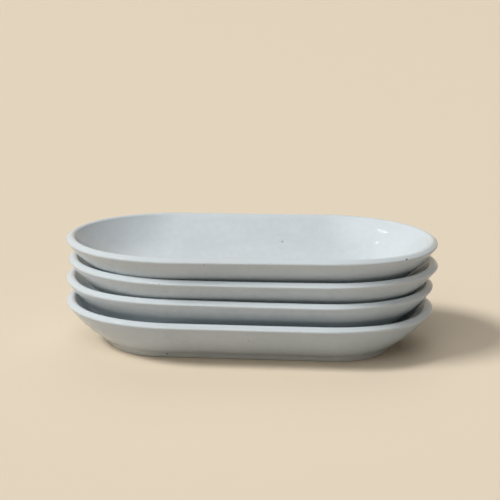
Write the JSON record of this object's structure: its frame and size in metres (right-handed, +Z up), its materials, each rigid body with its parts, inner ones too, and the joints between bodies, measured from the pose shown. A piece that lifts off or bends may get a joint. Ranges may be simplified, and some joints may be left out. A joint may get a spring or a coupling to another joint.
{
  "type": "oval serving dish stack",
  "caption": "Long oval serving dishes of glazed stoneware, nested in a stack: flared walls, a round lip, a low foot ring and a flat floor for food. Each lifts out of the one below.",
  "frame": {"origin": "centre of the lowest dish's foot, level with its underside", "axes": "+X along the dishes, +Z up, the way that they lift; the picture looks along +Y"},
  "size_m": [0.2424, 0.1244, 0.0724],
  "materials": {
    "glaze": "glossy"
  },
  "bodies": {
    "bottom": {"bottom_dish": "glaze"},
    "lower_middle": {"lower_middle_dish": "glaze"},
    "upper_middle": {"upper_middle_dish": "glaze"},
    "top": {"top_dish": "glaze"}
  },
  "joints": [
    {"name": "lower_middle_lift", "type": "slide", "parent": "bottom", "child": "lower_middle", "axis": [0, 0, 1], "range_m": [0, 0.06]},
    {"name": "upper_middle_lift", "type": "slide", "parent": "lower_middle", "child": "upper_middle", "axis": [0, 0, 1], "range_m": [0, 0.06]},
    {"name": "top_lift", "type": "slide", "parent": "upper_middle", "child": "top", "axis": [0, 0, 1], "range_m": [0, 0.06]}
  ]
}
